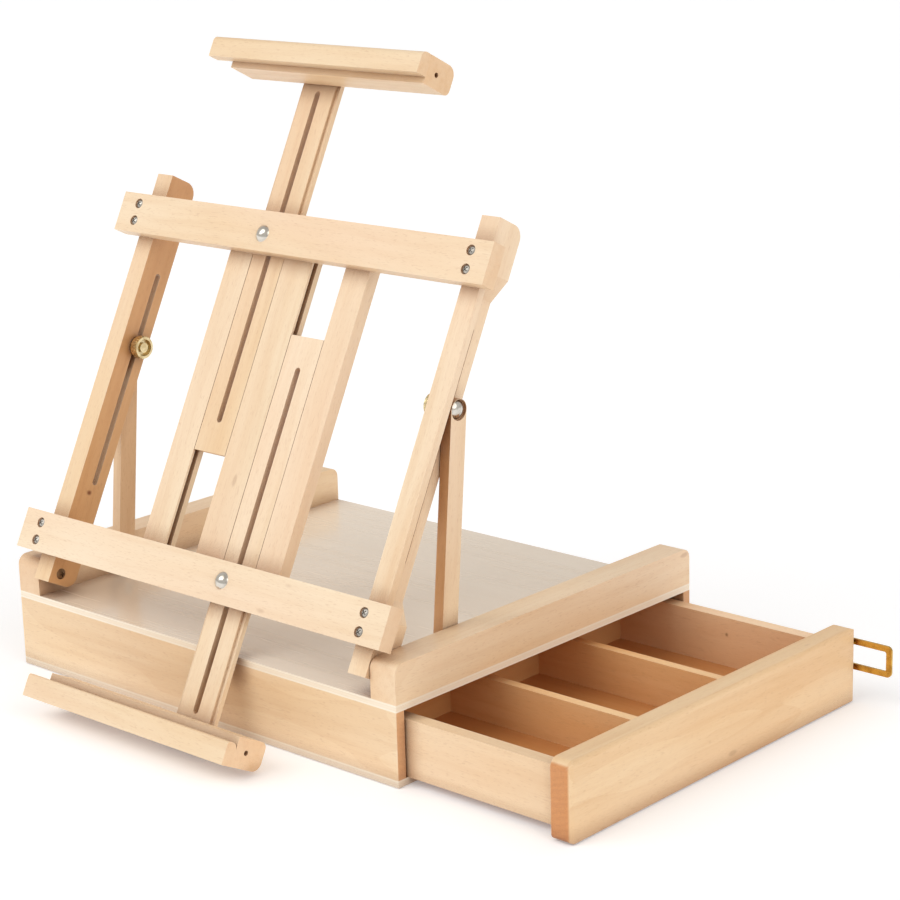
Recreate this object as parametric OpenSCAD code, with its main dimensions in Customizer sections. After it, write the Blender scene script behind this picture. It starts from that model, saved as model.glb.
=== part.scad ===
// Tabletop artist's easel: a shallow sketch box with one side drawer and a
// tilting canvas frame with two sliding canvas holders. Millimetres, +Z up,
// origin at the centre of the underside of the box. The drawer is drawn open.

/* [Box] */
// Width of the box, left to right
box_w = 420; // [410:1:430]
// Depth of the box, front to rear
box_d = 344; // [340:1:350]
// Thickness of the front, back and left boards
board_t = 8; // [7:0.5:8]
// Thickness of the top and bottom panels
panel_t = 5.5; // [5:0.1:5.5]
// Width of each top rail
rail_w = 24.5; // [23:0.5:24.5]

/* [Drawer] */
// How far the drawer stands open
drawer_open = 141; // [0:1:141]
// Thickness of the drawer front
drawer_front_t = 17; // [15:0.5:18]
// Thickness of the drawer side boards
drawer_side_t = 11; // [9:0.5:11]
// Thickness of the two drawer dividers
divider_t = 8; // [6:0.5:8]

/* [Canvas frame] */
// Tilt of the frame above horizontal, degrees
tilt = 63; // [63:1:64]
// Width of each slider board
slider_w = 34.5; // [34:0.1:34.5]
// Length of each slider board
slider_l = 314.7; // [314:0.1:315]
// Width of the long slots in the sliders
slider_slot_w = 5.5; // [5.5:0.1:6]
// Length of the canvas holder lips
holder_l = 224.8; // [200:1:230]

/* [Hardware] */
// Radius of the machine screw shanks
shank_r = 2.5; // [2.3:0.05:2.5]
// Radial running clearance
run_gap = 0.05; // [0.03:0.01:0.08]
// Number of grips on each knurled nut
knurls = 24; // [16:2:28]

/* [Hidden] */

$fn = 48;
hw = box_w / 2;
hd = box_d / 2;
top_z = 62.5;
rail_h = 30;
rail_top = top_z + rail_h;
rail_in = hw - rail_w;

// drawer
slide = drawer_open;
df_x0 = hw + slide;
df_x1 = df_x0 + drawer_front_t;
dr_len = 408;
dr_x0 = df_x0 - dr_len;
ds_z0 = 5.8;
ds_z1 = 50;
ds_gap = 10;

// frame pivot
piv_y = 9 - hd;
piv_z = 82.5;
post_in = 167.5;
post_out = 185;
web_out = 174.6;
strip_w = 3.9;
post_slot_w = 5;
post_v0 = -9;
post_v1 = 335;
post_w0 = -17.5;
post_w1 = 10.5;
bar_w1 = 24;
bar_half = 201.5;
strut_w = 16.4;
strut_in = 175.5;
strut_out = 184.5;
st_piv_y = 85 - hd;
st_piv_z = 76.5;
strut_len = 176.99;
strut_rest = 84.35;
bolt_v = 194;
bolt_w = -6;

// slider positions along the frame
up_v1 = 436.5;
up_v0 = up_v1 - slider_l;
lo_v0 = -91;
lo_v1 = lo_v0 + slider_l;
slot_l = 270.6;
slot_in = 24.1;

wood = [0.86, 0.70, 0.50];
ply = [0.88, 0.76, 0.58];
steel = [0.75, 0.75, 0.76];
brass = [0.80, 0.65, 0.30];

// places children in the tilted frame: y runs up the frame, z towards the front
module in_frame() {
  translate([0, piv_y, piv_z]) rotate([tilt, 0, 0]) children();
}

// extrudes a (y, z) profile along x from x0 to x1
module along_x(x0, x1) {
  translate([x0, 0, 0]) rotate([90, 0, 90]) linear_extrude(x1 - x0) children();
}

// removes the corner at p; s gives the direction of the material from it
module corner_cut(p, s, r) {
  translate(p) difference() {
    translate([s[0] > 0 ? -1 : -r, s[1] > 0 ? -1 : -r]) square([r + 1, r + 1]);
    translate([s[0] * r, s[1] * r]) circle(r);
  }
}

// rectangle with each corner rounded: [lower-left, lower-right, upper-right, upper-left]
module rounded(a0, b0, a1, b1, r) {
  difference() {
    translate([a0, b0]) square([a1 - a0, b1 - b0]);
    if (r[0] > 0) corner_cut([a0, b0], [1, 1], r[0]);
    if (r[1] > 0) corner_cut([a1, b0], [-1, 1], r[1]);
    if (r[2] > 0) corner_cut([a1, b1], [-1, -1], r[2]);
    if (r[3] > 0) corner_cut([a0, b1], [1, -1], r[3]);
  }
}

// slot outline from a0 to a1, half width r, ends rounded
module slot2d(a0, a1, b, r) {
  translate([a0 + r, b - r]) square([a1 - a0 - 2 * r, 2 * r]);
  translate([a0 + r, b]) circle(r);
  translate([a1 - r, b]) circle(r);
}

module cyl_x(x0, x1, y, z, r) {
  translate([x0, y, z]) rotate([0, 90, 0]) cylinder(h = x1 - x0, r = r);
}

// shallow domed screw head of radius r and height h, flat side on z = 0
module dome(r, h) {
  sr = (r * r + h * h) / (2 * h);
  intersection() {
    translate([0, 0, h - sr]) sphere(sr, $fn = 64);
    cylinder(h = h, r = r);
  }
}

// ---------- box ----------
module bottom_panel() color(ply)
  translate([-hw, -hd, 0]) cube([box_w, box_d, panel_t]);

module top_panel() color(ply)
  translate([-hw, -hd, top_z - panel_t]) cube([box_w, box_d, panel_t]);

module front_board() color(wood)
  translate([-hw, -hd, panel_t]) cube([box_w, board_t, top_z - 2 * panel_t]);

module back_board() color(wood)
  translate([-hw, hd - board_t, panel_t]) cube([box_w, board_t, top_z - 2 * panel_t]);

module left_board() color(wood)
  translate([-hw, -hd + board_t, panel_t])
    cube([board_t, box_d - 2 * board_t, top_z - 2 * panel_t]);

// s = -1 left, +1 right
module rail(s) {
  x0 = s > 0 ? rail_in : -hw;
  difference() {
    along_x(x0, x0 + rail_w) rounded(-hd, top_z, hd, rail_top, [0, 0, 8, 8]);
    cyl_x(s > 0 ? rail_in - 1 : -rail_in - 14, s > 0 ? rail_in + 14 : -rail_in + 1,
      piv_y, piv_z, shank_r);
    cyl_x(s > 0 ? rail_in - 1 : -rail_in - 14, s > 0 ? rail_in + 14 : -rail_in + 1,
      st_piv_y, st_piv_z, shank_r);
  }
}
module left_rail() color(wood) rail(-1);
module right_rail() color(wood) rail(1);

// shank through the post foot into the rail, domed head on the inner face
module frame_pivot(s) {
  x0 = post_in - 0.1;
  rotate([0, 0, s > 0 ? 0 : 180])
    translate([0, s * piv_y, piv_z]) {
      translate([x0, 0, 0]) rotate([0, 90, 0]) cylinder(h = rail_in + 14 - x0, r = shank_r);
      translate([x0, 0, 0]) rotate([0, -90, 0]) difference() {
        dome(4.4, 1.7);
        for (a = [0, 90]) rotate([0, 0, a]) translate([-2.2, -0.5, 0.6]) cube([4.4, 1, 2]);
      }
    }
}
module frame_pivot_screws() color(steel) { frame_pivot(1); frame_pivot(-1); }

// countersunk screw flush with the strut's inner face, into the rail
module strut_pivot(s) {
  rotate([0, 0, s > 0 ? 0 : 180])
    translate([0, s * st_piv_y, st_piv_z]) rotate([0, 90, 0]) difference() {
      union() {
        translate([0, 0, strut_in + 0.3]) cylinder(h = 2.6, r = 4.5);
        translate([0, 0, strut_in + 2.5]) cylinder(h = rail_in + 14 - strut_in - 2.5, r = shank_r);
      }
      for (a = [0, 90]) rotate([0, 0, a]) translate([-2.3, -0.5, strut_in - 1]) cube([4.6, 1, 2.5]);
    }
}
module strut_pivot_screws() color(steel) { strut_pivot(1); strut_pivot(-1); }

module latch_catch() color(brass) {
  translate([hw - 31, hd, 28]) cube([17, 1, 16]);
  translate([hw - 22.5, hd + 0.9, 36]) rotate([-90, 0, 0]) cylinder(h = 6.3, r = 2);
  translate([hw - 22.5, hd + 7, 36]) rotate([-90, 0, 0]) dome(4, 2.6);
}

// ---------- drawer ----------
module drawer_front() color(wood) difference() {
  translate([0, 0, 0.7]) linear_extrude(58.8)
    rounded(df_x0, -hd, df_x1, hd, [0, 5, 5, 0]);
  // eased upper edge along the outside
  translate([0, hd + 1, 0]) rotate([90, 0, 0]) linear_extrude(box_d + 2)
    corner_cut([df_x1, 59.5], [-1, -1], 3);
  // vertical rounding of the two upper ends
  along_x(df_x0 - 1, df_x1 + 1) {
    corner_cut([-hd, 59.5], [1, -1], 7);
    corner_cut([hd, 59.5], [-1, -1], 7);
    corner_cut([-hd, 0.7], [1, 1], 4);
    corner_cut([hd, 0.7], [-1, 1], 4);
  }
}

module drawer_side(y0) difference() {
  translate([dr_x0, y0, ds_z0]) cube([dr_len, drawer_side_t, ds_z1 - ds_z0]);
  // groove for the floor panel
  translate([dr_x0 - 1, y0 < 0 ? y0 + drawer_side_t - 3 : y0 - 1, 6.2])
    cube([dr_len + 2, 4, 3.5]);
}
module drawer_side_front() color(wood) drawer_side(-hd + ds_gap);
module drawer_side_back() color(wood) drawer_side(hd - ds_gap - drawer_side_t);

dr_y0 = -hd + ds_gap + drawer_side_t;
dr_y1 = hd - ds_gap - drawer_side_t;
module drawer_end() color(wood) difference() {
  translate([dr_x0, dr_y0, ds_z0]) cube([9, dr_y1 - dr_y0, ds_z1 - ds_z0]);
  translate([dr_x0 + 6, dr_y0 - 1, 6.2]) cube([4, dr_y1 - dr_y0 + 2, 3.5]);
}
module drawer_floor() color(ply)
  translate([dr_x0 + 6, dr_y0 - 3, 6.2]) cube([dr_len - 6, dr_y1 - dr_y0 + 6, 3.5]);

div_step = (dr_y1 - dr_y0 - 2 * divider_t) / 3;
div_mid = (9.7 + 45) / 2;
cross_x0 = dr_x0 + 9 + (dr_len - 9 - divider_t) / 2;
// lengthwise divider, notched from the top where the cross divider passes
module divider(i) difference() {
  translate([dr_x0 + 9, dr_y0 + (i + 1) * div_step + i * divider_t, 9.7])
    cube([dr_len - 9, divider_t, 45 - 9.7]);
  translate([cross_x0 - 0.1, dr_y0 + (i + 1) * div_step + i * divider_t - 1, div_mid - 0.1])
    cube([divider_t + 0.2, divider_t + 2, 30]);
}
module divider_front() color(wood) divider(0);
module divider_rear() color(wood) divider(1);
// cross divider over both, notched from below
module cross_divider() color(wood) difference() {
  translate([cross_x0, dr_y0, 9.7]) cube([divider_t, dr_y1 - dr_y0, 45 - 9.7]);
  for (i = [0, 1]) translate([cross_x0 - 1, dr_y0 + (i + 1) * div_step + i * divider_t - 0.1, 0])
    cube([divider_t + 2, divider_t + 0.2, div_mid]);
}

// latch: a stamped hasp on a pin, swinging about a vertical axis
lx = df_x1 - 12;
ly = hd + 4;
pin_r = 1.2;
hasp_z0 = 23.5;
hasp_z1 = 48.5;
hasp_l = 41.5;
hasp_bar = 4.7;
hasp_t = 1.8;
module latch_plate() color(brass) {
  difference() {
    union() {
      translate([lx - 4.6, hd, 26.5]) cube([12.6, 1, 19]);
      translate([lx - 1.2, hd, 29]) cube([2.4, 3.2, 14]);
      translate([lx, ly, 29]) cylinder(h = 14, r = 2.4);
      translate([lx, ly, hasp_z0]) cylinder(h = hasp_z1 - hasp_z0, r = pin_r);
    }
    for (z = [29.5, 42.5]) translate([lx + 5, hd - 1, z]) rotate([-90, 0, 0])
      cylinder(h = 3, r = 1.1);
  }
}
module latch_screws() color(brass)
  for (z = [29.5, 42.5]) translate([lx + 5, hd, z]) rotate([-90, 0, 0]) difference() {
    union() {
      cylinder(h = 1.1, r = 1.1);
      translate([0, 0, 1]) dome(2, 0.9);
    }
    translate([-1.6, -0.3, 1.5]) cube([3.2, 0.6, 1]);
  }
module latch_loop() color(brass) difference() {
  union() {
    translate([lx, ly + hasp_t / 2, 0]) rotate([90, 0, 0]) linear_extrude(hasp_t) difference() {
      rounded(0, hasp_z0, hasp_l, hasp_z1, [0, 4, 4, 0]);
      rounded(-1, hasp_z0 + hasp_bar, hasp_l - hasp_bar, hasp_z1 - hasp_bar, [0, 1.5, 1.5, 0]);
    }
    for (z = [hasp_z0, hasp_z1 - hasp_bar]) translate([lx, ly, z])
      cylinder(h = hasp_bar, r = 2.4);
  }
  translate([lx, ly, hasp_z0 - 1]) cylinder(h = hasp_z1 - hasp_z0 + 2, r = pin_r + run_gap);
}

// ---------- canvas frame ----------
module post(s) difference() {
  along_x(s > 0 ? post_in : -post_out, s > 0 ? post_out : -post_in)
    rounded(post_v0, post_w0, post_v1, post_w1, [10, 10, 0, 0]);
  // outer rebate where the strut lies when folded
  translate([0, 0, post_w0 - 1]) linear_extrude(strip_w - post_w0 + 1)
    polygon([[s * web_out, 50], [s * (post_out + 1), 32.4], [s * (post_out + 1), 296.8],
      [s * web_out, 277]]);
  // long slot for the strut carriage
  along_x(s > 0 ? post_in - 1 : -post_out - 1, s > 0 ? post_out + 1 : -post_in + 1)
    slot2d(76, 255.8, bolt_w, post_slot_w / 2);
  // pivot bore
  cyl_x(s > 0 ? post_in - 1 : -post_out - 1, s > 0 ? post_out + 1 : -post_in + 1,
    0, 0, shank_r + run_gap);
  // screw bores
  for (v = [20.8, 35, 290.7, 305]) translate([screw_x[s > 0 ? 1 : 0], v, -2])
    cylinder(h = 20, r = 1.8);
}
module left_post() color(wood) in_frame() post(-1);
module right_post() color(wood) in_frame() post(1);

screw_x = [-181.5, 178.5];
module crossbar(v0, v1, x1, bolt_x, bolt_v) difference() {
  translate([-bar_half, v0, post_w1]) cube([bar_half + x1, v1 - v0, bar_w1 - post_w1]);
  translate([bolt_x, bolt_v, post_w1 - 1]) cylinder(h = 20, r = shank_r);
  for (x = screw_x, v = v0 < 100 ? [20.8, 35] : [290.7, 305])
    translate([x, v, post_w1 - 1]) {
      cylinder(h = 20, r = 1.8);
      translate([0, 0, bar_w1 - post_w1 - 0.4]) cylinder(h = 5, r = 4.1);
    }
}
module upper_crossbar() color(wood) in_frame() crossbar(281, 313.5, 198, -33, 295);
module lower_crossbar() color(wood) in_frame() crossbar(12, 44.5, bar_half, 33, 29.5);

sl_w0 = -0.5;
groove_w = 4.2;
groove_d = 6;
// slat between x0 and x1, grooved along the edges that guide a slider
module slat(x0, x1, lt, rt) difference() {
  translate([x0, 14, sl_w0]) cube([x1 - x0, 297, post_w1 - sl_w0]);
  if (lt) translate([x0 - 1, 13, 4.3]) cube([1 + groove_d, 299, groove_w]);
  if (rt) translate([x1 - groove_d, 13, 4.3]) cube([1 + groove_d, 299, groove_w]);
}
sl_gap = 0.5;
sx = 33;
sl_c = sx - slider_w / 2 - sl_gap;
sl_o = sx + slider_w / 2 + sl_gap;
module left_slat() color(wood) in_frame() slat(-sl_o - 25.25, -sl_o, false, true);
module centre_slat() color(wood) in_frame() slat(-sl_c, sl_c, true, true);
module right_slat() color(wood) in_frame() slat(sl_o, sl_o + 25.25, true, false);

module crossbar_screw(x, v) translate([x, v, 0]) difference() {
  union() {
    translate([0, 0, -2]) cylinder(h = bar_w1 + 0.7, r = 1.8);
    translate([0, 0, bar_w1 - 1.4]) dome(3.7, 1.5);
  }
  for (a = [45, 135]) rotate([0, 0, a]) translate([-2.1, -0.45, bar_w1 - 0.9]) cube([4.2, 0.9, 3]);
}
module crossbar_screws() color(steel) in_frame()
  for (x = screw_x, v = [20.8, 35, 290.7, 305]) crossbar_screw(x, v);

module clamp_bolt(x, v) translate([x, v, 0]) {
  translate([0, 0, -11]) cylinder(h = 11 + bar_w1 + 0.1, r = shank_r);
  translate([0, 0, bar_w1]) dome(6.75, 3.2);
}
module upper_clamp_bolt() color(steel) in_frame() clamp_bolt(-sx, 295);
module lower_clamp_bolt() color(steel) in_frame() clamp_bolt(sx, 29.5);

// knurled cup nut around the axis +z, open at z = 0, with a recessed end at z = -h
module knurled_nut(r, h) difference() {
  union() {
    translate([0, 0, -1.6]) cylinder(h = 1.6, r = r - 2.2);
    translate([0, 0, -h]) cylinder(h = h - 1.6, r = r - 0.7);
    for (i = [0 : knurls - 1]) rotate([0, 0, i * 360 / knurls])
      translate([r - 0.75, 0, -h + 1.4]) cylinder(h = h - 4.4, r = 0.7, $fn = 16);
  }
  translate([0, 0, -h + 1.3]) cylinder(h = h + 1, r = shank_r + run_gap);
  // cup in the outer end, around the central boss
  translate([0, 0, -h - 1]) difference() {
    cylinder(h = 4.2, r = r - 2.6);
    translate([0, 0, 1.6]) cylinder(h = 4, r = 4);
  }
}
module upper_clamp_nut() color(brass) in_frame()
  translate([-sx, 295, 2.4]) knurled_nut(9.5, 15.6);
module lower_clamp_nut() color(brass) in_frame()
  translate([sx, 29.5, 2.4]) knurled_nut(9.5, 15.6);

sl_back = 2.5;
tongue = 3.2;
// slider with a tongue along each edge
module slider(x, v0, s0) difference() {
  union() {
    translate([x - slider_w / 2, v0, sl_back]) cube([slider_w, slider_l, post_w1 - sl_back - 0.05]);
    translate([x - slider_w / 2 - tongue, v0, 4.4])
      cube([slider_w + 2 * tongue, slider_l, groove_w - 0.2]);
  }
  translate([x, 0, sl_back - 1]) linear_extrude(20) rotate([0, 0, 90])
    slot2d(s0, s0 + slot_l, 0, slider_slot_w / 2);
}
module upper_slider() color(wood) in_frame() slider(-sx, up_v0, up_v0 + slot_in);
module lower_slider() color(wood) in_frame()
  slider(sx, lo_v0, lo_v1 - slot_in - slot_l);

// holder block in the (z, y) plane of the frame: dir = 1 upper, -1 lower
module ledge(x0, x1, v, dir) difference() {
  along_x(x0, x1) rounded(dir > 0 ? v - 22.5 : v, post_w1, dir > 0 ? v : v + 22.5, 40,
    dir > 0 ? [5, 8, 0, 0] : [8, 5, 0, 0]);
  cyl_x(x1 - 8, x1 + 1, dir > 0 ? v - 12 : v + 12, 29, 2);
}
module lip(x0, x1, v, dir)
  along_x(x0, x1) rounded(dir > 0 ? v - 17.5 : v, 40, dir > 0 ? v : v + 17.5, 50,
    dir > 0 ? [0, 2, 5, 0] : [0, 5, 2, 0]);

up_x0 = -11 - holder_l / 2;
up_x1 = -11 + holder_l / 2;
up_hv = 443;
module upper_ledge() color(wood) in_frame() ledge(up_x0 + 18, up_x1, up_hv, 1);
module upper_lip() color(wood) in_frame() lip(up_x0, up_x1, up_hv, 1);
module lower_ledge() color(wood) in_frame() ledge(-holder_l / 2 + 14, holder_l / 2, -97, -1);
module lower_lip() color(wood) in_frame() lip(-holder_l / 2, holder_l / 2, -97, -1);

// ---------- struts ----------
// strut along +y from the pivot at the origin, inner face at x = strut_in
module strut(s) {
  r = strut_w / 2;
  translate([0, st_piv_y, st_piv_z]) rotate([strut_rest, 0, 0]) difference() {
    along_x(s > 0 ? strut_in : -strut_out, s > 0 ? strut_out : -strut_in)
      slot2d(-r, strut_len + r, 0, r);
    // pivot bore with its countersink on the inner face
    cyl_x(s > 0 ? strut_in - 1 : -strut_out - 1, s > 0 ? strut_out + 1 : -strut_in + 1,
      0, 0, shank_r + run_gap);
    cyl_x(s > 0 ? strut_in - 1 : -strut_in - 2.95, s > 0 ? strut_in + 2.95 : -strut_in + 1,
      0, 0, 4.55);
    // bolt bore and the counterbore for its domed head
    cyl_x(s > 0 ? strut_in - 1 : -strut_out - 1, s > 0 ? strut_out + 1 : -strut_in + 1,
      strut_len, 0, shank_r);
    cyl_x(s > 0 ? strut_out - 2.4 : -strut_out - 1, s > 0 ? strut_out + 1 : -strut_out + 2.4,
      strut_len, 0, 8 - 0.1);
  }
}
module left_strut() color(wood) strut(-1);
module right_strut() color(wood) strut(1);

module strut_bolt(s) {
  translate([0, st_piv_y, st_piv_z]) rotate([strut_rest, 0, 0])
    translate([0, strut_len, 0]) mirror([s > 0 ? 0 : 1, 0, 0]) {
      translate([strut_in, 0, 0]) rotate([0, 90, 0])
        cylinder(h = strut_out - 2.3 - strut_in, r = shank_r);
      translate([strut_out - 2.4, 0, 0]) rotate([0, 90, 0]) dome(7.3, 3.2);
    }
}
module left_strut_bolt() color(steel) strut_bolt(-1);
module right_strut_bolt() color(steel) strut_bolt(1);

// threaded stub riding in the post slot, with the washer on the inner face
module carriage(s) in_frame() translate([0, bolt_v, bolt_w])
  mirror([s > 0 ? 0 : 1, 0, 0]) {
    translate([post_in - 8.5, 0, 0]) rotate([0, 90, 0]) cylinder(h = 8.6, r = shank_r);
    translate([post_in - 1.2, 0, 0]) rotate([0, 90, 0]) cylinder(h = 1.1, r = 8.2);
    translate([post_in - 0.2, 0, 0]) rotate([0, 90, 0])
      cylinder(h = strut_in - 0.3 - post_in, r = post_slot_w / 2 - 0.2);
  }
module left_carriage() color(steel) carriage(-1);
module right_carriage() color(steel) carriage(1);

module strut_nut(s) in_frame() translate([0, bolt_v, bolt_w])
  mirror([s > 0 ? 0 : 1, 0, 0])
    translate([post_in - 1.25, 0, 0]) rotate([0, 90, 0]) knurled_nut(9.5, 8.6);
module left_strut_nut() color(brass) strut_nut(-1);
module right_strut_nut() color(brass) strut_nut(1);

bottom_panel();
top_panel();
front_board();
back_board();
left_board();
left_rail();
right_rail();
frame_pivot_screws();
strut_pivot_screws();
latch_catch();
drawer_front();
drawer_side_front();
drawer_side_back();
drawer_end();
drawer_floor();
divider_front();
divider_rear();
cross_divider();
latch_plate();
latch_screws();
latch_loop();
left_post();
right_post();
upper_crossbar();
lower_crossbar();
left_slat();
centre_slat();
right_slat();
crossbar_screws();
upper_clamp_bolt();
lower_clamp_bolt();
upper_slider();
upper_ledge();
upper_lip();
lower_slider();
lower_ledge();
lower_lip();
upper_clamp_nut();
lower_clamp_nut();
left_strut();
right_strut();
left_strut_bolt();
right_strut_bolt();
left_carriage();
right_carriage();
left_strut_nut();
right_strut_nut();
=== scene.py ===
import math

import bpy
from mathutils import Matrix, Vector


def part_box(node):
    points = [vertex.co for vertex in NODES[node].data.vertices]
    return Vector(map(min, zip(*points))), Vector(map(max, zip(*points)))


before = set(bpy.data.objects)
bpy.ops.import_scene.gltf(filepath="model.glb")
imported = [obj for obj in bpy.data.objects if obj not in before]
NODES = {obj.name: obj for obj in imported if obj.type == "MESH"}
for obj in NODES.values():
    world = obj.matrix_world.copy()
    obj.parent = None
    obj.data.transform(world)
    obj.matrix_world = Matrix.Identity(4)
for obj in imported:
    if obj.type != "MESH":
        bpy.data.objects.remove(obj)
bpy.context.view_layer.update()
TILT = math.radians(63.0)
STRUT = math.radians(84.35)

scene = bpy.context.scene


# ------------------------------------------------------------------ helpers
class Tree:
    """A material's node tree with short calls for adding nodes."""

    def __init__(self, name):
        self.mat = bpy.data.materials.new(name)
        self.mat.use_nodes = True
        self.t = self.mat.node_tree
        self.t.nodes.clear()
        self.out = self.t.nodes.new("ShaderNodeOutputMaterial")
        self.bsdf = self.t.nodes.new("ShaderNodeBsdfPrincipled")
        self.link(self.bsdf.outputs["BSDF"], self.out.inputs["Surface"])

    def link(self, a, b):
        self.t.links.new(a, b)

    def put(self, value, socket):
        if isinstance(value, bpy.types.NodeSocket):
            self.link(value, socket)
        else:
            socket.default_value = value

    def node(self, kind, **props):
        n = self.t.nodes.new(kind)
        for k, v in props.items():
            setattr(n, k, v)
        return n

    def math(self, op, a, b=0.0, clamp=False):
        n = self.node("ShaderNodeMath", operation=op, use_clamp=clamp)
        self.put(a, n.inputs[0])
        self.put(b, n.inputs[1])
        return n.outputs[0]

    def vmul(self, v, s):
        n = self.node("ShaderNodeVectorMath", operation="MULTIPLY")
        self.put(v, n.inputs[0])
        n.inputs[1].default_value = s
        return n.outputs[0]

    def vadd(self, v, s):
        n = self.node("ShaderNodeVectorMath", operation="ADD")
        self.put(v, n.inputs[0])
        self.put(s, n.inputs[1])
        return n.outputs[0]

    def noise(self, v, scale=1.0, detail=3.0, rough=0.5, distortion=0.0):
        n = self.node("ShaderNodeTexNoise")
        self.put(v, n.inputs["Vector"])
        n.inputs["Scale"].default_value = scale
        n.inputs["Detail"].default_value = detail
        n.inputs["Roughness"].default_value = rough
        n.inputs["Distortion"].default_value = distortion
        return n.outputs["Fac"]

    def span(self, v, lo, hi, a=0.0, b=1.0, smooth=False):
        n = self.node("ShaderNodeMapRange", clamp=True)
        if smooth:
            n.interpolation_type = "SMOOTHSTEP"
        self.put(v, n.inputs["Value"])
        n.inputs["From Min"].default_value = lo
        n.inputs["From Max"].default_value = hi
        n.inputs["To Min"].default_value = a
        n.inputs["To Max"].default_value = b
        return n.outputs["Result"]

    def mix(self, f, a, b, mode="MIX"):
        n = self.node("ShaderNodeMix", data_type="RGBA", blend_type=mode)
        self.put(f, n.inputs["Factor"])
        for v, i in ((a, 6), (b, 7)):
            if isinstance(v, bpy.types.NodeSocket):
                self.link(v, n.inputs[i])
            else:
                n.inputs[i].default_value = (*v, 1.0)
        return n.outputs[2]

    def painted_shade(self, c, reach, tint, amount, deep=True):
        """Painted shade: darker, warmer colour down in corners, slots and grooves."""
        n = self.node("ShaderNodeAmbientOcclusion", samples=1)
        n.inputs["Distance"].default_value = reach
        f = self.span(n.outputs["AO"], 0.12, 0.78, amount, 0.0, smooth=True)
        c = self.mix(f, c, self.mix(1.0, c, tint, "MULTIPLY"))
        if not deep:
            return c
        # a second, deeper painted shade at the bottom of slots and grooves
        f = self.span(n.outputs["AO"], 0.02, 0.34, amount, 0.0, smooth=True)
        return self.mix(f, c, self.mix(1.0, c, (0.42, 0.30, 0.22), "MULTIPLY"))

    def bump(self, height, strength, distance, normal=None):
        n = self.node("ShaderNodeBump")
        n.inputs["Strength"].default_value = strength
        n.inputs["Distance"].default_value = distance
        self.link(height, n.inputs["Height"])
        if normal is not None:
            self.link(normal, n.inputs["Normal"])
        return n.outputs["Normal"]


def grain_rotation(direction):
    """Euler angles that turn the grain direction onto X."""
    x, y, z = direction
    if abs(x) > 0.9:
        return (0.0, 0.0, 0.0)
    return (-math.atan2(z, y), 0.0, -math.pi / 2)


def srgb(r, g, b):
    def f(c):
        c /= 255.0
        return c / 12.92 if c <= 0.04045 else ((c + 0.055) / 1.055) ** 2.4
    return (f(r), f(g), f(b))


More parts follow.
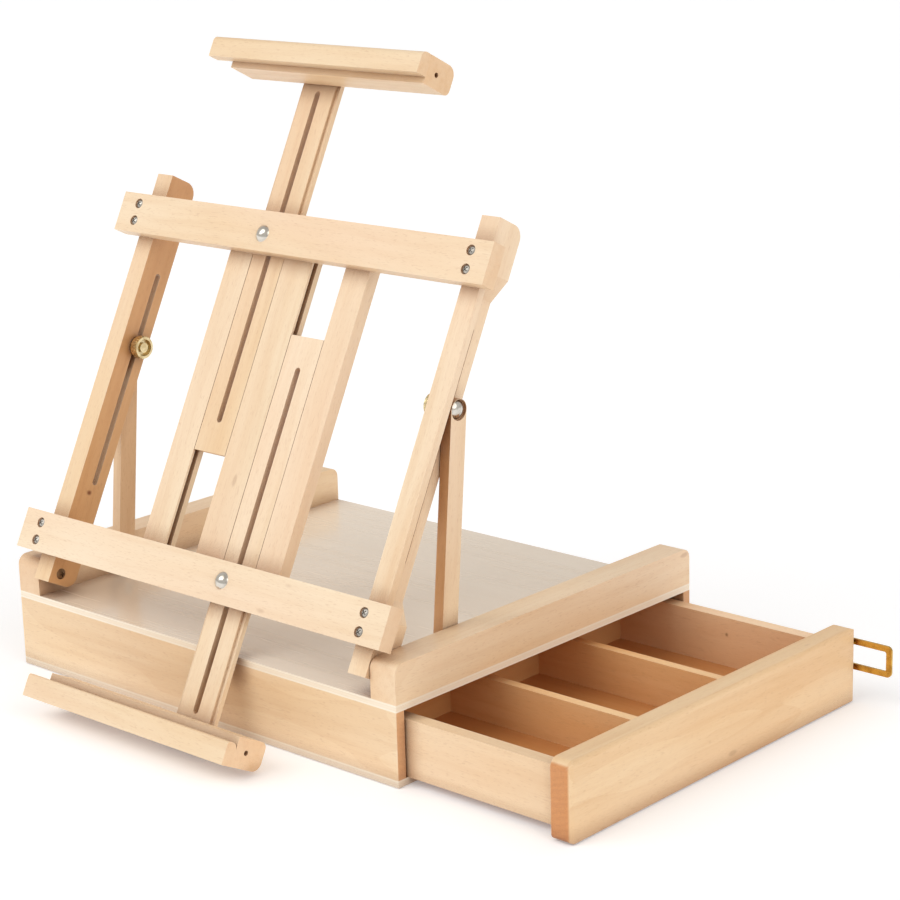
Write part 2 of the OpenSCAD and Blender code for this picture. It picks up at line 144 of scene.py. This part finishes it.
def wood(name, direction, seed, tone=0.0, warm=0.0, plain=0.45, end=0.5, rough=0.42, spots=(),
         shaded_face=None, inside=False):
    """Beech with its grain along direction. plain is how strong the broad figure is,
    end how dark the end grain is, shaded_face = (normal, amount) a face given painted shade,
    inside marks the drawer's boards, which get a wider painted shade towards their corners."""
    m = Tree(name)
    tc = m.node("ShaderNodeTexCoord")
    mp = m.node("ShaderNodeMapping", vector_type="POINT")
    m.link(tc.outputs["Object"], mp.inputs["Vector"])
    mp.inputs["Rotation"].default_value = grain_rotation(direction)
    mp.inputs["Location"].default_value = (seed * 1.371, seed * 0.713, seed * 2.117)
    p = mp.outputs["Vector"]

    # a slow sideways wander of the grain
    wander = m.noise(m.vmul(p, (5.0, 9.0, 9.0)), detail=1.0)
    wob = m.node("ShaderNodeCombineXYZ")
    m.link(m.math("MULTIPLY", m.math("SUBTRACT", wander, 0.5), 0.018), wob.inputs["Y"])
    m.link(m.math("MULTIPLY", m.math("SUBTRACT", wander, 0.5), 0.012), wob.inputs["Z"])
    pw = m.vadd(p, wob.outputs["Vector"])

    cloud = m.noise(m.vmul(pw, (4.0, 26.0, 26.0)), detail=2.0)
    streak = m.noise(m.vmul(pw, (9.0, 170.0, 170.0)), detail=3.0, rough=0.55)
    fibre = m.noise(m.vmul(pw, (55.0, 1500.0, 1500.0)), detail=2.0, rough=0.6)
    fleck = m.noise(m.vmul(pw, (210.0, 1500.0, 1500.0)), detail=0.0, rough=0.4)
    # growth rings cut at a shallow angle: broad soft arches
    rings = m.node("ShaderNodeTexWave", wave_type="BANDS", bands_direction="Y", wave_profile="SAW")
    m.link(m.vmul(pw, (0.35, 3.6, 5.0)), rings.inputs["Vector"])
    rings.inputs["Scale"].default_value = 3.1
    rings.inputs["Distortion"].default_value = 5.5
    rings.inputs["Detail"].default_value = 1.6
    rings.inputs["Detail Scale"].default_value = 0.7
    ring = rings.outputs["Fac"]

    shift = tone
    light = srgb(246 + shift, 226 + shift - warm * 6, 197 + shift - warm * 14)
    mid = srgb(239 + shift, 211 + shift - warm * 8, 174 + shift - warm * 16)
    deep = srgb(218 + shift, 178 + shift - warm * 8, 132 + shift - warm * 14)
    rosy = srgb(241 + shift, 206 + shift, 177 + shift - warm * 6)
    c = m.mix(m.span(cloud, 0.32, 0.70), light, mid)
    c = m.mix(m.math("MULTIPLY", m.span(streak, 0.46, 0.82), 0.36), c, deep)
    c = m.mix(m.math("MULTIPLY", m.span(ring, 0.55, 1.0), plain * 0.20), c, deep)
    c = m.mix(m.math("MULTIPLY", m.span(m.noise(m.vmul(p, (3.0, 11.0, 11.0)), detail=1.0), 0.45, 0.7), 0.45), c, rosy)
    c = m.mix(m.math("MULTIPLY", m.span(fibre, 0.55, 0.80), 0.20), c, deep)
    c = m.mix(m.math("MULTIPLY", m.span(fleck, 0.67, 0.75), 0.22), c, srgb(196, 148, 106))

    # small dark marks: pin knots and mineral spots, very few
    vor = m.node("ShaderNodeTexVoronoi", feature="F1")
    m.link(m.vmul(p, (9.0, 22.0, 22.0)), vor.inputs["Vector"])
    vor.inputs["Scale"].default_value = 1.0
    pin = m.span(vor.outputs["Distance"], 0.025, 0.060, 1.0, 0.0, smooth=True)
    c = m.mix(m.math("MULTIPLY", pin, 0.30), c, srgb(164, 112, 72))
    for (sx, sy, sz, sr, amount) in spots:
        d = m.node("ShaderNodeVectorMath", operation="DISTANCE")
        m.link(tc.outputs["Object"], d.inputs[0])
        d.inputs[1].default_value = (sx, sy, sz)
        k = m.span(m.math("ADD", d.outputs["Value"], m.math("MULTIPLY", m.math("SUBTRACT", streak, 0.5), 0.003)),
                   sr * 0.3, sr, amount, 0.0, smooth=True)
        c = m.mix(k, c, srgb(140, 84, 44))

    # end grain: darker, with fine pores and arcs of rings
    vr = m.node("ShaderNodeMapping", vector_type="VECTOR")
    m.link(tc.outputs["Normal"], vr.inputs["Vector"])
    vr.inputs["Rotation"].default_value = grain_rotation(direction)
    sep = m.node("ShaderNodeSeparateXYZ")
    m.link(vr.outputs["Vector"], sep.inputs["Vector"])
    endm = m.span(m.math("ABSOLUTE", sep.outputs["X"]), 0.72, 0.92, smooth=True)
    sp = m.node("ShaderNodeSeparateXYZ")
    m.link(p, sp.inputs["Vector"])
    yy = m.math("MULTIPLY", sp.outputs["Y"], 9.0)
    zz = m.math("ADD", m.math("MULTIPLY", sp.outputs["Z"], 9.0), 0.6)
    rad = m.math("POWER", m.math("ADD", m.math("MULTIPLY", yy, yy), m.math("MULTIPLY", zz, zz)), 0.5)
    arcs = m.math("SINE", m.math("ADD", m.math("MULTIPLY", rad, 150.0), m.math("MULTIPLY", streak, 9.0)))
    endc = m.mix(m.span(arcs, -1.0, 1.0, 0.0, 0.22),
                 srgb(222 + shift, 168 + shift - warm * 8, 118 + shift - warm * 12),
                 srgb(198 + shift, 140 + shift - warm * 8, 92 + shift - warm * 10))
    pores = m.noise(m.vmul(p, (2400.0, 2400.0, 2400.0)), detail=1.0)
    endc = m.mix(m.math("MULTIPLY", m.span(pores, 0.52, 0.66), 0.35), endc, srgb(150, 98, 60))
    c = m.mix(m.math("MULTIPLY", endm, end), c, endc)

    # painted shade: the face turned along the given normal is darkened and browned
    if shaded_face is not None:
        hd = m.node("ShaderNodeVectorMath", operation="DOT_PRODUCT")
        m.link(tc.outputs["Normal"], hd.inputs[0])
        hd.inputs[1].default_value = shaded_face[0]
        k = m.math("MULTIPLY", m.span(hd.outputs["Value"], 0.55, 0.9, smooth=True), shaded_face[1])
        c = m.mix(k, c, m.mix(1.0, c, (0.74, 0.52, 0.33), "MULTIPLY"))

    # handled edges: a touch paler and smoother
    bev = m.node("ShaderNodeBevel", samples=2)
    bev.inputs["Radius"].default_value = 0.0016
    geo = m.node("ShaderNodeNewGeometry")
    dot = m.node("ShaderNodeVectorMath", operation="DOT_PRODUCT")
    m.link(bev.outputs["Normal"], dot.inputs[0])
    m.link(geo.outputs["Normal"], dot.inputs[1])
    edge = m.span(dot.outputs["Value"], 0.80, 0.985, 1.0, 0.0, smooth=True)
    edge = m.math("MULTIPLY", edge, m.span(m.noise(m.vmul(p, (60.0, 60.0, 60.0)), detail=2.0), 0.38, 0.62))
    c = m.mix(m.math("MULTIPLY", edge, 0.28), c, srgb(251, 232, 206))
    # painted shade in corners, slots and grooves; the drawer's inner boards get a wider, stronger one
    if inside:
        c = m.painted_shade(c, 0.085, (0.58, 0.35, 0.19), 0.80, deep=False)
    else:
        c = m.painted_shade(c, 0.016, (0.56, 0.32, 0.17), 0.85)

    m.link(c, m.bsdf.inputs["Base Color"])
    r = m.math("ADD", m.span(streak, 0.3, 0.8, rough - 0.06, rough + 0.08),
               m.span(fibre, 0.4, 0.8, 0.0, 0.10))
    r = m.math("ADD", r, m.math("MULTIPLY", endm, 0.16))
    r = m.math("SUBTRACT", r, m.math("MULTIPLY", edge, 0.08), clamp=True)
    m.link(r, m.bsdf.inputs["Roughness"])
    m.bsdf.inputs["Coat Weight"].default_value = 0.16
    m.bsdf.inputs["Coat Roughness"].default_value = 0.30
    h = m.math("ADD", m.math("MULTIPLY", fibre, 0.6), m.math("MULTIPLY", streak, 0.4))
    h = m.math("SUBTRACT", h, m.math("MULTIPLY", m.span(fleck, 0.66, 0.74), 0.35))
    h = m.math("SUBTRACT", h, m.math("MULTIPLY", m.math("MULTIPLY", endm, pores), 0.8))
    m.link(m.bump(h, 0.30, 0.00025), m.bsdf.inputs["Normal"])
    return m.mat


def veneer(name, seed, face):
    """The start of a plywood material: its face veneer, with the grain along X."""
    m = Tree(name)
    tc = m.node("ShaderNodeTexCoord")
    mp = m.node("ShaderNodeMapping", vector_type="POINT")
    m.link(tc.outputs["Object"], mp.inputs["Vector"])
    mp.inputs["Location"].default_value = (seed * 0.77, seed * 1.91, seed * 0.31)
    p = mp.outputs["Vector"]
    cloud = m.noise(m.vmul(p, (3.0, 14.0, 14.0)), detail=2.0)
    streak = m.noise(m.vmul(p, (6.0, 120.0, 120.0)), detail=3.0, rough=0.55)
    fibre = m.noise(m.vmul(p, (40.0, 1100.0, 1100.0)), detail=3.0, rough=0.6)
    a, b, d = face
    c = m.mix(m.span(cloud, 0.3, 0.7), srgb(*a), srgb(*b))
    c = m.mix(m.math("MULTIPLY", m.span(streak, 0.45, 0.8), 0.26), c, srgb(*d))
    c = m.mix(m.math("MULTIPLY", m.span(fibre, 0.5, 0.8), 0.16), c, srgb(*d))
    return m, tc, c, streak, fibre


def ply_panel(name, seed, z0, z1, face, rough=0.32, inside=False):
    """Thin ply panel from z0 to z1: veneered faces and pale edges with faint glue lines."""
    m, tc, c, streak, fibre = veneer(name, seed, face)
    sep = m.node("ShaderNodeSeparateXYZ")
    m.link(tc.outputs["Object"], sep.inputs["Vector"])
    t = m.span(sep.outputs["Z"], z0, z1, 0.0, 1.0)
    tw = m.math("ADD", t, m.math("MULTIPLY", m.math("SUBTRACT", streak, 0.5), 0.06))
    core = m.math("MULTIPLY", m.span(tw, 0.27, 0.31, smooth=True), m.span(tw, 0.69, 0.73, 1.0, 0.0, smooth=True))
    g1 = m.math("MULTIPLY", m.span(tw, 0.25, 0.28), m.span(tw, 0.29, 0.32, 1.0, 0.0))
    g2 = m.math("MULTIPLY", m.span(tw, 0.68, 0.71), m.span(tw, 0.72, 0.75, 1.0, 0.0))
    edge = m.mix(m.math("MULTIPLY", core, 0.35), srgb(252, 240, 220), srgb(242, 220, 190))
    edge = m.mix(m.math("MULTIPLY", m.span(fibre, 0.5, 0.75), 0.18), edge, srgb(214, 180, 140))
    edge = m.mix(m.math("MULTIPLY", m.math("ADD", g1, g2, clamp=True), 0.20), edge, srgb(182, 138, 98))
    ns = m.node("ShaderNodeSeparateXYZ")
    m.link(tc.outputs["Normal"], ns.inputs["Vector"])
    side = m.span(m.math("ABSOLUTE", ns.outputs["Z"]), 0.35, 0.75, 1.0, 0.0, smooth=True)
    c = m.mix(side, c, edge)
    # painted shade in corners; the drawer floor gets a wider, stronger one
    if inside:
        c = m.painted_shade(c, 0.085, (0.58, 0.35, 0.19), 0.80, deep=False)
    else:
        c = m.painted_shade(c, 0.016, (0.56, 0.36, 0.22), 0.7)
    m.link(c, m.bsdf.inputs["Base Color"])
    r = m.math("ADD", m.span(streak, 0.3, 0.8, rough - 0.05, rough + 0.06), m.math("MULTIPLY", side, 0.2))
    m.link(r, m.bsdf.inputs["Roughness"])
    m.bsdf.inputs["Coat Weight"].default_value = 0.45 if rough < 0.3 else 0.2
    m.bsdf.inputs["Coat Roughness"].default_value = 0.14 if rough < 0.3 else 0.25
    h = m.math("ADD", m.math("MULTIPLY", fibre, 0.6), m.math("MULTIPLY", streak, 0.4))
    m.link(m.bump(h, 0.08 if rough < 0.3 else 0.2, 0.0002), m.bsdf.inputs["Normal"])
    return m.mat


def metal(name, base, dark, rough, grain=(900.0, 900.0, 900.0), bump=0.12):
    m = Tree(name)
    tc = m.node("ShaderNodeTexCoord")
    p = tc.outputs["Object"]
    wear = m.noise(m.vmul(p, (160.0, 160.0, 160.0)), detail=3.0)
    fine = m.noise(m.vmul(p, grain), detail=3.0)
    c = m.mix(m.span(wear, 0.45, 0.75), base, dark)
    bev = m.node("ShaderNodeBevel", samples=2)
    bev.inputs["Radius"].default_value = 0.0005
    geo = m.node("ShaderNodeNewGeometry")
    dot = m.node("ShaderNodeVectorMath", operation="DOT_PRODUCT")
    m.link(bev.outputs["Normal"], dot.inputs[0])
    m.link(geo.outputs["Normal"], dot.inputs[1])
    edge = m.span(dot.outputs["Value"], 0.75, 0.98, 1.0, 0.0, smooth=True)
    bright = tuple(min(1.0, v * 1.2 + 0.05) for v in base)
    c = m.mix(m.math("MULTIPLY", edge, 0.5), c, bright)
    # painted shade in the metal's hollows and corners
    c = m.painted_shade(c, 0.0025, (0.30, 0.27, 0.24), 0.9, deep=False)
    m.link(c, m.bsdf.inputs["Base Color"])
    m.bsdf.inputs["Metallic"].default_value = 1.0
    r = m.math("ADD", m.span(wear, 0.3, 0.7, rough - 0.05, rough + 0.07), m.span(fine, 0.4, 0.7, 0.0, 0.06))
    m.link(r, m.bsdf.inputs["Roughness"])
    m.link(m.bump(fine, bump, 0.0001), m.bsdf.inputs["Normal"])
    return m.mat


def shade(obj, mat):
    obj.data.materials.clear()
    obj.data.materials.append(mat)


def bevel(obj, width, segments=3, angle=40.0):
    b = obj.modifiers.new("eased_edges", "BEVEL")
    b.width = width
    b.segments = segments
    b.limit_method = "ANGLE"
    b.angle_limit = math.radians(angle)
    b.use_clamp_overlap = False
    b.harden_normals = True
    return b


# ------------------------------------------------------------------ wood
X, Y = (1, 0, 0), (0, 1, 0)
V = (0, math.cos(TILT), math.sin(TILT))
S = (0, math.cos(STRUT), math.sin(STRUT))


def at(x, v, w):
    """A point of the tilted frame, in metres."""
    return (x / 1000, (-163 + v * math.cos(TILT) - w * math.sin(TILT)) / 1000,
            (82.5 + v * math.sin(TILT) + w * math.cos(TILT)) / 1000)


# boards inside the drawer, which get the wider painted shade of the drawer's inside
INSIDE = ("divider_front", "divider_rear", "cross_divider", "drawer_side_back", "drawer_end")
# faces given painted shade: the left post's and left strut's inner sides and the right strut's front face
SHADED_FACE = {
    "left_post": ((1, 0, 0), 0.95),
    "left_strut": ((1, 0, 0), 0.45),
    "right_strut": ((0, -math.sin(STRUT), math.cos(STRUT)), 0.95),
}
WOOD = {
    # node: (grain, tone, warmth, figure, end grain, bevel width mm)
    "front_board": (X, 0, 0.6, 0.9, 0.8, 0.6),
    "back_board": (X, -4, 0.6, 0.9, 0.8, 0.6),
    "left_board": (Y, -4, 0.6, 0.9, 0.6, 0.6),
    "left_rail": (Y, -2, 0.6, 0.6, 0.12, 1.8),
    "right_rail": (Y, 1, 0.6, 0.6, 0.12, 1.8),
    "drawer_front": (Y, -6, 1.6, 1.0, 1.0, 1.6),
    "drawer_side_front": (X, -2, 0.8, 0.7, 0.6, 1.0),
    # drawer_side_back's lighter tone is painted light on the lit rear wall; the dividers' strong warmth is painted
    # shade of the drawer's inside
    "drawer_side_back": (X, 16, 1.0, 0.7, 0.6, 1.0),
    "drawer_end": (Y, -6, 1.2, 0.7, 0.6, 0.8),
    "divider_front": (X, 10, 3.0, 0.6, 0.6, 0.8),
    "divider_rear": (X, 10, 3.0, 0.6, 0.6, 0.8),
    "cross_divider": (Y, -6, 3.4, 0.6, 0.6, 0.8),
    "left_post": (V, 0, 0.6, 0.5, 0.5, 2.4),
    "right_post": (V, 0, 0.3, 0.5, 0.5, 2.4),
    "upper_crossbar": (X, 1, 0.3, 0.5, 0.28, 1.6),
    "lower_crossbar": (X, 4, -0.1, 0.5, 0.28, 1.6),
    "left_slat": (V, 1, 0.2, 0.6, 0.3, 1.0),
    "centre_slat": (V, 0, 0.2, 0.6, 0.3, 1.0),
    "right_slat": (V, 1, 0.2, 0.6, 0.3, 1.0),
    "upper_slider": (V, -2, 0.8, 0.6, 0.4, 0.9),
    "lower_slider": (V, 3, 0.1, 0.6, 0.4, 0.9),
    "upper_ledge": (X, -2, 0.6, 0.5, 0.3, 1.0),
    "upper_lip": (X, -2, 0.6, 0.5, 0.3, 1.6),
    "lower_ledge": (X, 0, 0.5, 0.5, 0.3, 1.0),
    "lower_lip": (X, -1, 0.5, 0.5, 0.3, 1.6),
    "left_strut": (S, -5, 0.8, 0.4, 0.4, 1.0),
    "right_strut": (S, -3, 0.5, 0.4, 0.4, 1.0),
}
SPOTS = {
    "left_post": [(*at(-167.5, 69, -3.5), 0.0030, 0.95)],
    "drawer_side_back": [(0.262, 0.151, 0.036, 0.0025, 0.6)],
}
for i, (name, (g, tone, warm, figure, end, w)) in enumerate(WOOD.items()):
    if name not in NODES:
        continue
    o = NODES[name]
    shade(o, wood("beech_" + name, g, i + 1, tone, warm, figure, end, spots=SPOTS.get(name, ()),
                  shaded_face=SHADED_FACE.get(name), inside=name in INSIDE))
    bevel(o, w / 1000)

FACE_TOP = ((246, 232, 214), (240, 224, 204), (228, 208, 184))
# FACE_IN's darker orange face is painted shade of the drawer's inside
FACE_IN = ((222, 164, 106), (208, 146, 88), (184, 120, 66))
FACE_BOT = ((236, 214, 180), (226, 200, 162), (200, 164, 120))
for name, face, rough in (("top_panel", FACE_TOP, 0.26), ("bottom_panel", FACE_BOT, 0.4), ("drawer_floor", FACE_IN, 0.4)):
    lo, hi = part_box(name)
    shade(NODES[name], ply_panel("ply_" + name, len(name), lo[2], hi[2], face, rough,
                                 inside=name == "drawer_floor"))
    bevel(NODES[name], 0.0004, 2)

# ------------------------------------------------------------------ metal
STEEL = metal("zinc_steel", srgb(204, 200, 192), srgb(160, 155, 147), 0.38)
NICKEL = metal("nickel_plate", srgb(222, 216, 206), srgb(176, 168, 156), 0.16)
BRASS = metal("polished_brass", srgb(224, 184, 96), srgb(176, 132, 58), 0.22)
PALE_BRASS = metal("pale_brass", srgb(232, 212, 166), srgb(192, 164, 112), 0.24)
BRONZED = metal("bronzed_steel", srgb(128, 98, 70), srgb(84, 62, 44), 0.42)
shade(NODES["frame_pivot_screws"], BRONZED)
for name in ("strut_pivot_screws", "crossbar_screws"):
    shade(NODES[name], STEEL)
for name in ("upper_clamp_bolt", "lower_clamp_bolt", "left_strut_bolt", "right_strut_bolt",
             "left_carriage", "right_carriage"):
    shade(NODES[name], NICKEL)
for name in ("latch_catch", "latch_plate", "latch_screws", "latch_loop"):
    shade(NODES[name], BRASS)
for name in ("upper_clamp_nut", "lower_clamp_nut", "left_strut_nut", "right_strut_nut"):
    shade(NODES[name], PALE_BRASS)
bevel(NODES["latch_loop"], 0.0005, 2)
bevel(NODES["latch_plate"], 0.0002, 2)
for name in ("upper_clamp_nut", "lower_clamp_nut", "left_strut_nut", "right_strut_nut"):
    bevel(NODES[name], 0.00035, 2, 60.0)

# ------------------------------------------------------------------ stage
def mesh_object(name, verts, faces, mat):
    me = bpy.data.meshes.new(name)
    me.from_pydata(verts, [], faces)
    me.update()
    ob = bpy.data.objects.new(name, me)
    scene.collection.objects.link(ob)
    shade(ob, mat)
    return ob


ft = Tree("pale_floor")
tcf = ft.node("ShaderNodeTexCoord")
fn = ft.noise(ft.vmul(tcf.outputs["Object"], (3.0, 3.0, 3.0)), detail=2.0)
ft.link(ft.mix(fn, (0.915, 0.925, 0.95), (0.93, 0.94, 0.965)), ft.bsdf.inputs["Base Color"])
ft.bsdf.inputs["Roughness"].default_value = 0.85
ft.bsdf.inputs["Emission Color"].default_value = (1.0, 1.0, 1.0, 1.0)
ft.bsdf.inputs["Emission Strength"].default_value = 0.20
floor = mesh_object("floor", [(-12, -12, -0.0005), (12, -12, -0.0005), (12, 12, -0.0005), (-12, 12, -0.0005)],
                    [(0, 1, 2, 3)], ft.mat)

world = bpy.data.worlds.new("studio")
scene.world = world
world.use_nodes = True
wt = world.node_tree
wt.nodes.clear()
wo = wt.nodes.new("ShaderNodeOutputWorld")
bg = wt.nodes.new("ShaderNodeBackground")
bg.inputs["Color"].default_value = (1.0, 0.985, 0.96, 1.0)
bg.inputs["Strength"].default_value = 0.60
# the camera sees plain white beyond the floor's edge
seen = wt.nodes.new("ShaderNodeBackground")
seen.inputs["Color"].default_value = (1.0, 1.0, 1.0, 1.0)
seen.inputs["Strength"].default_value = 1.0
path = wt.nodes.new("ShaderNodeLightPath")
pick = wt.nodes.new("ShaderNodeMixShader")
wt.links.new(path.outputs["Is Camera Ray"], pick.inputs["Fac"])
wt.links.new(bg.outputs["Background"], pick.inputs[1])
wt.links.new(seen.outputs["Background"], pick.inputs[2])
wt.links.new(pick.outputs["Shader"], wo.inputs["Surface"])


def area(name, loc, target, size, power, color=(1, 1, 1)):
    d = bpy.data.lights.new(name, "AREA")
    d.shape = "RECTANGLE"
    d.size, d.size_y = size
    d.energy = power
    d.color = color
    o = bpy.data.objects.new(name, d)
    scene.collection.objects.link(o)
    o.location = loc
    z = (Vector(loc) - Vector(target)).normalized()
    o.rotation_euler = z.to_track_quat("Z", "Y").to_euler()
    return o


def sun(name, frm, strength, angle, color=(1, 1, 1)):
    d = bpy.data.lights.new(name, "SUN")
    d.energy = strength
    d.angle = math.radians(angle)
    d.color = color
    o = bpy.data.objects.new(name, d)
    scene.collection.objects.link(o)
    o.rotation_euler = Vector(frm).normalized().to_track_quat("Z", "Y").to_euler()
    return o


sun("key", (-0.30, -0.80, 0.95), 0.72, 40.0, (1.0, 0.99, 0.97))
sun("side", (0.95, -0.10, 0.55), 0.80, 50.0, (1.0, 0.985, 0.965))
area("window", (-1.2, -1.8, 1.5), (0.05, 0.0, 0.2), (1.2, 0.9), 5.0, (1.0, 1.0, 1.0))

# ------------------------------------------------------------------ camera
cam_data = bpy.data.cameras.new("camera")
cam_data.sensor_width = 36.0
cam_data.lens = 98.6
cam_data.clip_start = 0.01
cam_data.clip_end = 50.0
cam = bpy.data.objects.new("camera", cam_data)
scene.collection.objects.link(cam)
right = Vector((0.7422, 0.6696, -0.0267)).normalized()
down = Vector((0.1577, -0.2133, -0.9642))
fwd = right.cross(down).normalized()
down = fwd.cross(right).normalized()
rot = Matrix((right, -down, -fwd)).transposed()
cam.matrix_world = Matrix.Translation((1.3399, -1.3424, 0.6933)) @ rot.to_4x4()
scene.camera = cam
scene.view_settings.view_transform = "Standard"
